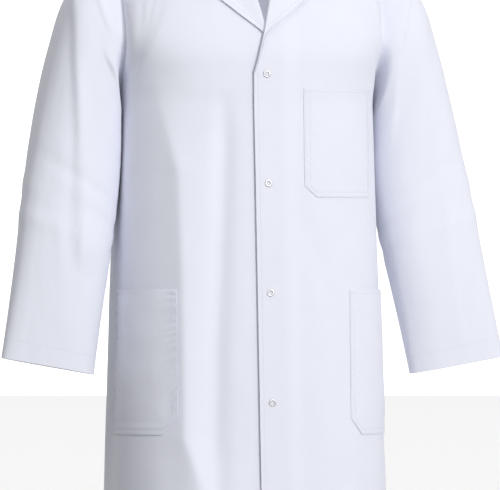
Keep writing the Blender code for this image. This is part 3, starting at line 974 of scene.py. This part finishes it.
def sleeve_points(angle, v, off, right):
    """Points of a sleeve and its normals. angle runs round it from its outer line towards the back, v
    from shoulder to cuff."""
    station = along(SLEEVE_STATIONS, v)
    x_out, z_out, x_in, z_in, y, depth = (station[..., k] for k in range(6))
    zero = np.zeros_like(y)
    middle = np.stack([(x_out + x_in) / 2, y, (z_out + z_in) / 2], -1)
    across = np.stack([(x_out - x_in) / 2, zero, (z_out - z_in) / 2], -1)
    deep = np.stack([zero, depth, zero], -1)
    square = 2 + 0.9 * ease(v / 0.4) * (1 - 0.3 * ease((v - 0.7) / 0.3))
    c, s = np.cos(angle), np.sin(angle)
    wide, high = (np.sign(w) * np.abs(w) ** (2 / square) for w in (c, s))
    out = across * wide[..., None] + deep * high[..., None]
    half = np.linalg.norm(across, axis=-1)
    lean_x, lean_y = (np.sign(w) * np.abs(w) ** (square - 1) for w in (wide, high))
    normal = across * (lean_x / half**2)[..., None] + deep * (lean_y / depth**2)[..., None]
    normal /= np.linalg.norm(normal, axis=-1, keepdims=True)
    a = np.mod(angle, 2 * math.pi)
    free = ease(v / 0.12)
    total = 0.0016 * np.sin(4 * a + 3 * v) * window(v, 0.3, 1.2, 0.2)
    # creases of the front: the cloth nearer the body rolls over the cloth further out
    x, z = (middle + out)[..., 0], (middle + out)[..., 2]
    faces = ease((-np.sin(angle) - 0.15) / 0.35)
    for line, depth_at, width in RIGHT_SLEEVE_CREASES if right else LEFT_SLEEVE_CREASES:
        zs, xs = [p[1] for p in line][::-1], [p[0] for p in line][::-1]
        away = (x - np.interp(z, zs, xs)) / width
        step = np.exp(0.22 * np.minimum(away, 0)) / (1 + np.exp(np.clip(3 * away, -30, 30)))
        fades = ease((z - zs[0]) / 0.05) * ease((zs[-1] - z + 0.02) / 0.04)
        total = total + depth_at * faces * fades * step
    # slack folds that fan out from under the arm behind
    for k, (lean, deepness) in enumerate(((1.05, 0.0044), (0.72, 0.0036), (0.44, 0.0028))):
        line = 2.8 - lean * (1.1 - v * 3.4)
        total = total - deepness * bell(a, line - 0.2, 0.12) * bell(v, 0.17 + 0.05 * k, 0.09)
    # soft breaks at the elbow and long slack folds behind
    for k in range(3):
        total = total + 0.0016 * np.sin(a + k) * bell(v, 0.56 + 0.07 * k, 0.022)
    total = total + 0.0030 * np.cos(3 * a + 1.1 + 2.0 * v) * ease((np.sin(a) + 0.2) / 0.8) * free
    seed = 31 if right else 37
    total = total + 0.00045 * soft_noise(a * 5, v * 11, seed) * free * ease(np.abs(np.sin(a / 2)) * 4)
    total = total * ease((v - 0.02) / 0.10) + off
    points = middle + out + normal * total[..., None]
    low, high = ARMPIT_Z + 0.001, float(shoulder_line(HALF_SHOULDER)) - 0.0002
    z = (low + high) / 2 + (high - low) / 2 * np.cos(angle)
    rims = [hang(front, np.zeros_like(z), z, 0.0) for front in (True, False)]
    rim = np.where((np.sin(angle) < 0)[..., None], rims[0], rims[1])
    tucked = 0.0016 - off
    rim[..., 0] -= 0.0030 * (1 - ease(v / 0.02))
    rim[..., 1] -= np.sign(np.sin(angle)) * np.minimum(tucked, np.abs(rim[..., 1]))
    rim[..., 2] -= np.cos(angle) * tucked
    meets = ease((v - 0.012) / 0.15)[..., None]
    grown = rim + np.array((1.0, 0, 0)) * (station_reach(v) * (1 - 0.25 * (1 - np.cos(angle))))[..., None]
    points = grown * (1 - meets) + points * meets
    return mirrored(points, right), mirrored(normal, right)


class COAT_OT_sleeves(Operator):
    """Hang the two sleeves, with their turned and stitched hems"""

    bl_idname = "lab_coat.sleeves"
    bl_label = "Sleeves"

    def execute(self, context):
        cloth, thread = finish_for("white twill"), finish_for("spun polyester thread")
        angle = np.linspace(0, 2 * math.pi, 132, endpoint=False)
        angle, v = np.meshgrid(angle, np.linspace(0, 1, 210), indexing="ij")
        cuff = 1 - CUFF_BAND / 0.62
        for right in (False, True):
            side = "right" if right else "left"
            outer = sleeve_points(angle, v, CLOTH, right)[0]
            inner = sleeve_points(angle, v, -PLY * (v > cuff), right)[0]
            sleeve = cloth_piece(f"{side}_sleeve_cloth", inner, outer, cloth, closed=True)
            # one row round the hem and one down the seam under the arm
            ring, run = np.linspace(0, 2 * math.pi, 260), np.linspace(0.02, 0.985, 400)
            rows_of = [
                sleeve_points(ring, np.full(260, cuff + 0.003), CLOTH, right),
                sleeve_points(np.full(400, 3.36), run, CLOTH, right),
            ]
            sewn = stitches(f"{side}_sleeve_stitches", rows_of, thread)
            for piece in (sleeve, sewn):
                bend_between(piece)
            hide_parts(f"{side}_sleeve")
        return {"FINISHED"}


def fresh_primitive(add, name, **values):
    """Adds a primitive with nothing else selected, and names it."""
    bpy.ops.object.select_all(action="DESELECT")
    add(**values)
    piece = bpy.context.object
    piece.name = piece.data.name = name
    return piece


def select_caps(piece, test):
    """In edit mode, selects just the faces that pass the test."""
    shape = bmesh.from_edit_mesh(piece.data)
    for face in shape.faces:
        face.select_set(bool(test(face)))
    for edge in shape.edges:
        edge.select_set(any(f.select for f in edge.link_faces) and all(v.select for v in edge.verts))
    shape.select_flush_mode()
    bmesh.update_edit_mesh(piece.data)


def rounded(piece, width, segments):
    """Leaves edit mode and rounds the sharp edges over."""
    bpy.ops.object.mode_set(mode="OBJECT")
    bevel = piece.modifiers.new("Rounded", "BEVEL")
    bevel.width, bevel.segments, bevel.limit_method = width, segments, "ANGLE"
    bpy.ops.object.modifier_apply(modifier=bevel.name)
    return piece


def snap_ring(name, radius, hole, height):
    """Stamped open ring: a disc with its middle taken out and its edges rounded over."""
    add = bpy.ops.mesh.primitive_cylinder_add
    piece = fresh_primitive(add, name, vertices=48, radius=radius, depth=height)
    bpy.ops.object.mode_set(mode="EDIT")
    bpy.ops.mesh.select_mode(type="FACE")
    select_caps(piece, lambda face: abs(face.normal.z) > 0.9)
    bpy.ops.mesh.inset(thickness=radius - hole, use_individual=True)
    bpy.ops.mesh.bridge_edge_loops()
    return rounded(piece, height * 0.42, 4)


def snap_stud(name, flange, radius, height):
    """Pressed stud: a flange with a rounded head drawn up from it."""
    add = bpy.ops.mesh.primitive_cylinder_add
    piece = fresh_primitive(add, name, vertices=48, radius=flange, depth=0.0005)
    bpy.ops.object.mode_set(mode="EDIT")
    bpy.ops.mesh.select_mode(type="FACE")
    select_caps(piece, lambda face: face.normal.z > 0.9)
    bpy.ops.mesh.inset(thickness=flange - radius)
    bpy.ops.mesh.extrude_region_move(TRANSFORM_OT_translate={"value": (0, 0, height)})
    bpy.ops.mesh.inset(thickness=radius * 0.35)
    bpy.ops.mesh.extrude_region_move(TRANSFORM_OT_translate={"value": (0, 0, -height * 0.5)})
    return rounded(piece, 0.00018, 3)


def put_in_mesh(piece, matrix):
    """Moves the mesh to its place and leaves the object at the origin."""
    piece.data.transform(matrix @ piece.matrix_basis)
    piece.matrix_basis = Matrix.Identity(4)
    piece.data.shade_smooth()
    piece.data.set_sharp_from_angle(angle=math.radians(40))


class COAT_OT_snaps(Operator):
    """Set the four ring snaps down the closing"""

    bl_idname = "lab_coat.snaps"
    bl_label = "Ring snaps"

    def execute(self, context):
        metal = finish_for("nickel-plated brass")
        behind = -PLY - CLOTH
        # each kind's maker and sizes, how far out its middle lies, and its body. A ring has its radius,
        # hole and thickness, and a stud has its flange, its head's radius and its height
        kinds = (
            ("snap_ring", snap_ring, (0.0054, 0.0028, 0.0013), LIFT + CLOTH + 0.0005, "left_front"),
            ("snap_socket", snap_ring, (0.0050, 0.0027, 0.0010), LIFT + behind - 0.0008, "left_front"),
            ("snap_stud", snap_stud, (0.0050, 0.0022, 0.0011), CLOTH + 0.0003, "right_front"),
            ("snap_back_ring", snap_ring, (0.0053, 0.0030, 0.0009), behind - 0.0006, "right_front"),
        )
        for kind, make, sizes, height, body in kinds:
            right = body == "right_front"
            for i, z in enumerate(SNAP_HEIGHTS):
                piece = make(f"{kind}_{i + 1}_metal", *sizes)
                turn, level = np.array([1.0]), np.array([min(z, BREAK_Z)])
                centre = hang(True, turn, level, height, right)[0]
                out = Vector(facing_out(True, turn, level)[0])
                turned = Vector((0, 0, 1)).rotation_difference(out).to_matrix().to_4x4()
                spin = Matrix.Rotation(math.radians(37 * i), 4, "Z")
                put_in_mesh(piece, Matrix.Translation(Vector(centre)) @ turned @ spin)
                piece.data.materials.clear()
                piece.data.materials.append(metal)
                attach(piece, body)
                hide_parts(f"{kind}_{i + 1}")
        return {"FINISHED"}


class COAT_OT_hanger_loop(Operator):
    """Sew the hanger loop inside the back of the neck"""

    bl_idname = "lab_coat.hanger_loop"
    bl_label = "Hanger loop"

    def execute(self, context):
        low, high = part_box("hanger_loop")
        middle_y, top = (low.y + high.y) / 2, high.z
        half, drop, tape, fold = 0.028, 0.020, 0.006, 0.00032
        # the tape is folded in two along its length: its section goes out, round the fold and back
        bend = np.linspace(-math.pi / 2, math.pi / 2, 9)
        wide = np.concatenate([[0.0, 0.3, 0.6], 0.94 + 0.06 * np.cos(bend), [0.6, 0.3, 0.0]]) * tape
        deep = np.concatenate([[-fold] * 3, fold * np.sin(bend), [fold] * 3])
        leans = np.concatenate([[0.0] * 3, np.cos(bend), [0.0] * 3])
        faces_y = np.concatenate([[-1.0] * 3, np.sin(bend), [1.0] * 3])
        turn = np.linspace(0, math.pi, 81)[:, None]

        def ply(off):
            out, side = wide + leans * off, middle_y + deep + faces_y * off
            side = side + 0.0003 * np.sin(turn * 3)
            return np.stack([(half + out) * np.cos(turn), side, top - (drop + out) * np.sin(turn)], -1)

        loop = cloth_piece("hanger_loop_tape", ply(-0.00018), ply(0.00018), finish_for("white twill inside, shaded"))
        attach(loop, "loop")
        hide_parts("hanger_loop")
        return {"FINISHED"}


class COAT_OT_stage(Operator):
    """Lay the floor, and set the light and the camera"""

    bl_idname = "lab_coat.stage"
    bl_label = "Stage"

    def execute(self, context):
        settings = context.scene.lab_coat
        floor = fresh_primitive(
            bpy.ops.mesh.primitive_circle_add,
            "floor",
            vertices=96,
            radius=ROOM,
            fill_type="NGON",
            location=(0, 0, FLOOR_Z),
        )
        wall = fresh_primitive(
            bpy.ops.mesh.primitive_cylinder_add,
            "wall",
            vertices=96,
            radius=ROOM,
            depth=2 * ROOM,
            end_fill_type="NOTHING",
        )
        # both give off light of their own, so that they look pale without lighting the coat
        for piece, finish, glow in ((floor, "pale floor", 0.34), (wall, "white wall", 1.0)):
            material, _, shader = new_finish(finish, Roughness=0.9, Emission_Strength=glow)
            shader.inputs["Base Color"].default_value = hex_colour(settings.floor_colour)
            shader.inputs["Emission Color"].default_value = (1.0, 1.0, 1.0, 1.0)
            piece.data.materials.append(material)
            piece.visible_diffuse = piece.visible_shadow = False

        world = bpy.data.worlds.new("studio")
        context.scene.world = world
        world.use_nodes = True
        tree = world.node_tree
        background = tree.nodes["Background"]
        # white behind the coat, and a soft fill that fades towards the wearer's right
        place = node(tree, "ShaderNodeTexCoord").outputs["Generated"]

        def facing(direction):
            made = node(tree, "ShaderNodeVectorMath", [(place, 0)], operation="DOT_PRODUCT")
            made.inputs[1].default_value = direction
            return made.outputs["Value"]

        ahead, aside = facing((0.225, 0.974, 0.0)), facing((0.90, -0.10, 0.42))
        behind = ranged(tree, ahead, From_Min=0.80, From_Max=0.97, To_Min=0.0, To_Max=1.0)
        fill = ranged(tree, aside, From_Min=-0.8, From_Max=0.6, To_Min=0.28, To_Max=0.60)
        both = node(tree, "ShaderNodeMath", [(behind, 0), (fill, 1)])
        both.operation = "MAXIMUM"
        tree.links.new(both.outputs["Value"], background.inputs["Strength"])
        background.inputs["Color"].default_value = (1.0, 1.0, 1.0, 1.0)

        for name, where, aimed_at, size, energy in (
            ("key", (1.40, -4.1, 0.80), (0, 0, -0.5), 1.1, 95.0),
            ("left fill", (-1.4, -1.2, 1.1), (0, 0, -0.5), 1.0, 6.5),
            ("neck", (0.0, -0.055, -0.03), (0, 0.1, -0.16), 0.05, 0.17),
        ):
            light = bpy.data.lights.new(name, "AREA")
            light.shape, light.size, light.energy = "DISK", size, energy
            lamp = bpy.data.objects.new(name, light)
            lamp.location = where
            aim = Vector(aimed_at) - lamp.location
            lamp.visible_camera = False
            lamp.rotation_euler = aim.to_track_quat("-Z", "Y").to_euler()
            context.scene.collection.objects.link(lamp)

        forward = Vector((-math.sin(CAMERA_TURN), math.cos(CAMERA_TURN), 0))
        aside = Vector((math.cos(CAMERA_TURN), math.sin(CAMERA_TURN), 0))
        camera = bpy.data.cameras.new("camera")
        camera.sensor_width, camera.lens = 36.0, 36.0 * CAMERA_DISTANCE / SHOWN
        view = bpy.data.objects.new("camera", camera)
        target = aside * 0.009 + Vector((0, 0, -0.4725))
        view.location = target - forward * CAMERA_DISTANCE
        view.rotation_euler = forward.to_track_quat("-Z", "Y").to_euler()
        context.scene.collection.objects.link(view)
        context.scene.camera = view
        context.scene.view_settings.view_transform = "Standard"
        return {"FINISHED"}


class COAT_PT_panel(Panel):
    """Lists the coat's pieces and its sizes and colours"""

    bl_label = "Lab coat"
    bl_idname = "COAT_PT_panel"
    bl_space_type = "VIEW_3D"
    bl_region_type = "UI"
    bl_category = "Lab coat"

    def draw(self, context):
        settings = context.scene.lab_coat
        for name in CoatSettings.__annotations__:
            self.layout.prop(settings, name)
        for operator in OPERATORS:
            self.layout.operator(operator.bl_idname)


OPERATORS = (
    COAT_OT_stage,
    COAT_OT_fronts,
    COAT_OT_lapels,
    COAT_OT_backs,
    COAT_OT_collar,
    COAT_OT_pockets,
    COAT_OT_sleeves,
    COAT_OT_snaps,
    COAT_OT_hanger_loop,
)


def register():
    for cls in (CoatSettings, *OPERATORS, COAT_PT_panel):
        bpy.utils.register_class(cls)
    bpy.types.Scene.lab_coat = PointerProperty(type=CoatSettings)


def unregister():
    del bpy.types.Scene.lab_coat
    for cls in (COAT_PT_panel, *reversed(OPERATORS), CoatSettings):
        bpy.utils.unregister_class(cls)


def main():
    register()
    for operator in OPERATORS:
        group, name = operator.bl_idname.split(".")
        getattr(getattr(bpy.ops, group), name)()


if __name__ == "__main__":
    main()
